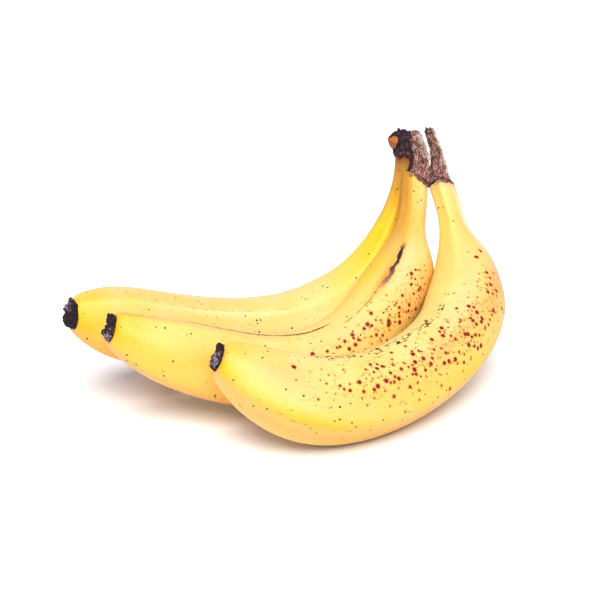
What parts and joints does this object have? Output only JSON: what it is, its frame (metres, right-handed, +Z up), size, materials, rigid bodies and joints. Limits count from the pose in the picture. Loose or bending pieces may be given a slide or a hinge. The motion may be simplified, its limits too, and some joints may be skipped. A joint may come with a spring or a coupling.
{
  "type": "bunch of bananas",
  "caption": "Ripe bananas grown together at one dried crown, resting on their curved bellies with the crown and the tips raised.",
  "frame": {"origin": "on the table, under the middle of the bunch's bounding box", "axes": "+Z up; the middle finger points along -X, with the crown raised at the +X end; the front finger lies towards -Y"},
  "size_m": [0.1924, 0.1203, 0.0964],
  "materials": {
    "peel": "smooth waxy yellow peel with soft ridges, brown freckles and a satin sheen",
    "dried_flower": "dry, cracked, near-black remains of the flower, matt",
    "dried_stalk": "dried and torn stalk fibres, purple-brown skin over paler brown strands, matt"
  },
  "bodies": {
    "root": {"finger_front": "peel", "finger_middle": "peel", "finger_back": "peel", "blossom_end_front": "dried_flower", "blossom_end_middle": "dried_flower", "blossom_end_back": "dried_flower", "crown": "dried_stalk"}
  },
  "joints": []
}
